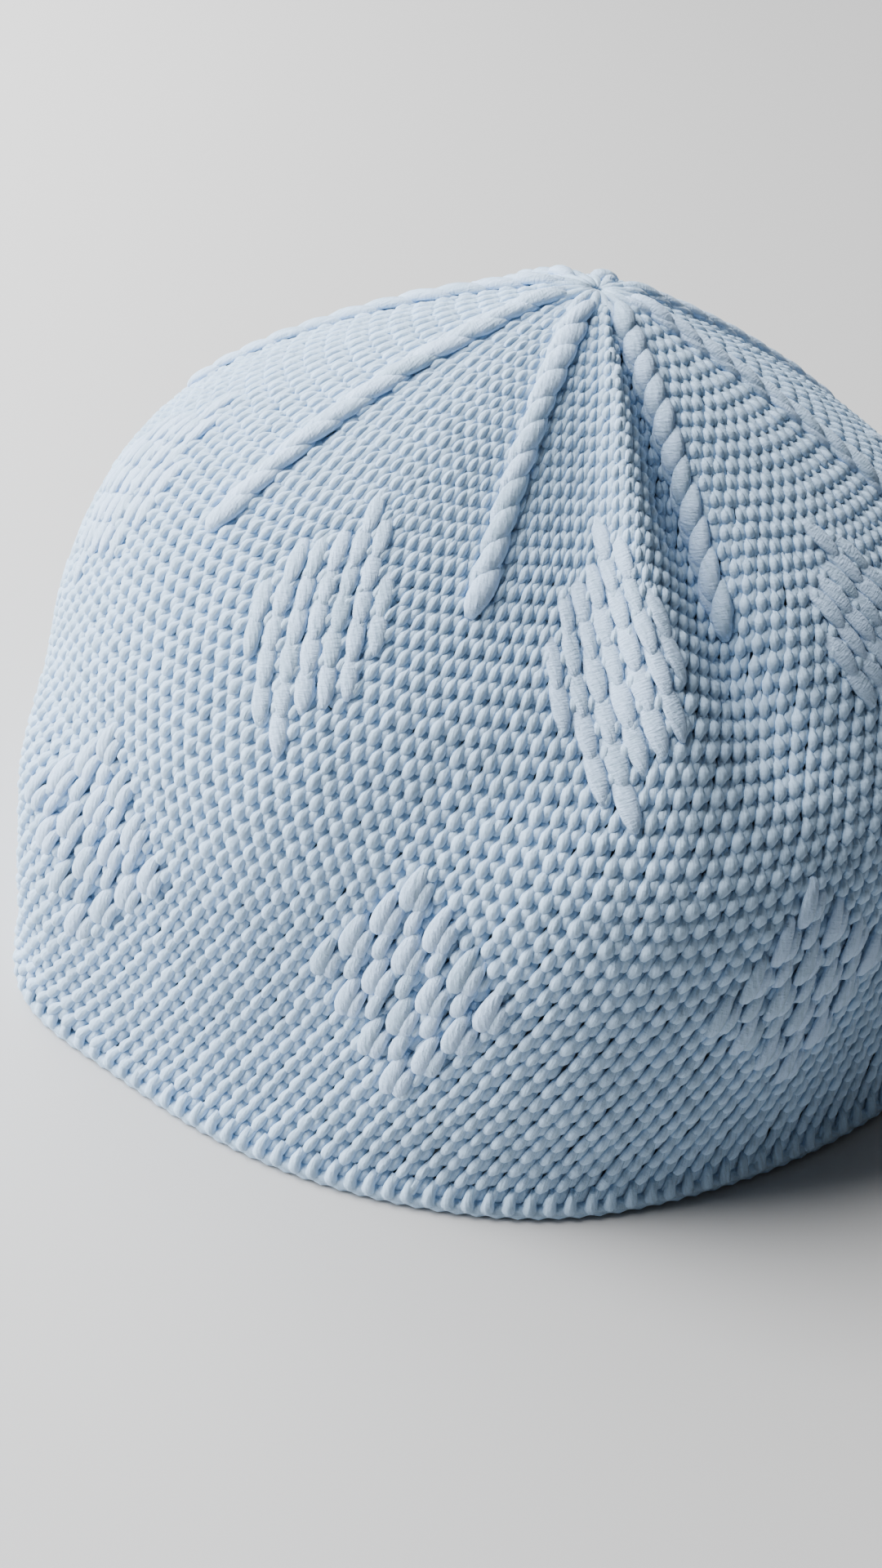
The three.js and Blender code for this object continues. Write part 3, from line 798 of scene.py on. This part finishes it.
# The cord inside the rim: an oval ring carried round the rim line
def rimCord():
    core = rim["core"]
    columns = core["columns"]
    sides = core["sides"]
    azimuth = np.radians(np.arange(columns) * 360.0 / columns)
    point, out = rimLine(azimuth)
    turn = np.radians(np.arange(sides) * 360.0 / sides)
    lifted = np.zeros((columns, sides, 3))
    lifted[..., 2] = core["height"] + np.sin(turn) * core["halfHeight"]
    points = point[:, None] + out[:, None] * (np.cos(turn) * core["halfWidth"])[None, :, None] + lifted
    i = np.arange(columns)[:, None]
    j = np.arange(sides)[None]
    k = (j + 1) % sides
    near = i * sides
    far = (i + 1) % columns * sides
    quads = np.stack([near + j, far + j, far + k, near + k], -1).reshape(-1, 4)
    uv = np.stack([np.broadcast_to(i * 1.75, (columns, sides)),
                   np.broadcast_to(turn / np.pi, (columns, sides))], -1).reshape(-1, 2)
    return meshFrom("rimCord", points.reshape(-1, 3) * mm, quads.ravel(), np.full(len(quads), 4), uv,
                    np.zeros(columns * sides))


# The edging: the cord, and round it an upright head and a link for every stitch of the first round
def rimEdging():
    count = dome["stitches"]
    azimuth = np.radians((np.arange(count) + dome["lean"] - dome["gridTurn"]) * dome["stitchTurn"])
    azimuth = azimuth + dice.normal(0, 0.0009, count)
    addPiece("rimCord", rimCord(), whiteYarn, ["rim_edging"])
    heads = rimStrands("rimHeads", rim["heads"], azimuth, 8)
    addPiece("rimHeads", heads, whiteYarn, ["rim_edging"])
    links = rimStrands("rimLinks", rim["links"], azimuth + np.radians(rim["linkTurn"]), 8)
    addPiece("rimLinks", links, whiteYarn, ["rim_edging"])


rimEdging()


studio = {
    "floorSize": 4,             # m each way
    # painted light: the floor's colour is lighter on the left, where the lamps stand
    "floorRight": 0.47,
    "floorLeft": 0.64,
    "floorChange": (-0.30, 0.12),       # m, from the left tone to the right one
    "lamps": {
        "leftLow": {"at": (-1.3, 0.05, 0.32), "size": 1.0, "power": 41.0},
        "leftHigh": {"at": (-0.75, 0.15, 1.15), "size": 0.8, "power": 37.0},
        "top": {"at": (-0.05, 0.35, 1.5), "size": 1.0, "power": 1.5},
        "back": {"at": (-0.5, 0.8, 1.0), "size": 0.9, "power": 16.0},
    },
    "aim": (0, 0, 0.05),
    "sky": 0.036,
}


# A wide plain floor whose colour grows lighter to the left, towards the lamps: painted light
def studioFloor():
    mesh = bpy.data.meshes.new("floor")
    wide = studio["floorSize"]
    corners = [(-wide, -wide, 0), (wide, -wide, 0), (wide, wide, 0), (-wide, wide, 0)]
    mesh.from_pydata(corners, [], [(0, 1, 2, 3)])
    floor = bpy.data.objects.new("floor", mesh)
    bpy.context.scene.collection.objects.link(floor)
    material = bpy.data.materials.new("floor")
    material.use_nodes = True
    tree = material.node_tree
    shader = tree.nodes["Principled BSDF"]
    shader.inputs["Roughness"].default_value = 0.85
    where = tree.nodes.new("ShaderNodeTexCoord")
    split = tree.nodes.new("ShaderNodeSeparateXYZ")
    fall = tree.nodes.new("ShaderNodeMapRange")
    fall.interpolation_type = "SMOOTHSTEP"
    fall.inputs["From Min"].default_value = studio["floorChange"][0]
    fall.inputs["From Max"].default_value = studio["floorChange"][1]
    fall.inputs["To Min"].default_value = studio["floorLeft"]
    fall.inputs["To Max"].default_value = studio["floorRight"]
    tree.links.new(where.outputs["Object"], split.inputs[0])
    tree.links.new(split.outputs["X"], fall.inputs["Value"])
    tree.links.new(fall.outputs["Result"], shader.inputs["Base Color"])
    mesh.materials.append(material)


# A round soft lamp that points at the middle of the cap
def areaLight(name, settings):
    lamp = bpy.data.lights.new(name, "AREA")
    lamp.shape = "DISK"
    lamp.size = settings["size"]
    lamp.energy = settings["power"]
    light = bpy.data.objects.new(name, lamp)
    bpy.context.scene.collection.objects.link(light)
    light.location = settings["at"]
    aim = Vector(studio["aim"]) - light.location
    light.rotation_euler = aim.to_track_quat("-Z", "Y").to_euler()


studioFloor()
for lampName, settings in studio["lamps"].items():
    areaLight(lampName, settings)
world = bpy.data.worlds.new("studio")
world.use_nodes = True
world.node_tree.nodes["Background"].inputs["Color"].default_value = (1, 1, 1, 1)
world.node_tree.nodes["Background"].inputs["Strength"].default_value = studio["sky"]
bpy.context.scene.world = world

# The photo's view: the focal length is in pixels of a picture 1920 pixels tall
photoView = {
    "focalPixels": 2432.1,
    "pictureHeight": 1920,
    "sensor": 36,               # mm
    "at": (0.00035, -0.29602, 0.26522),
    "towards": (-0.0379, 0.77146, -0.63515),
}

eye = bpy.data.cameras.new("eye")
eye.lens = photoView["focalPixels"] / photoView["pictureHeight"] * photoView["sensor"]
eye.sensor_width = photoView["sensor"]
eye.clip_start = 0.01
camera = bpy.data.objects.new("eye", eye)
bpy.context.scene.collection.objects.link(camera)
camera.location = photoView["at"]
camera.rotation_euler = Vector(photoView["towards"]).to_track_quat("-Z", "Y").to_euler()
bpy.context.scene.camera = camera
print("stage ready")
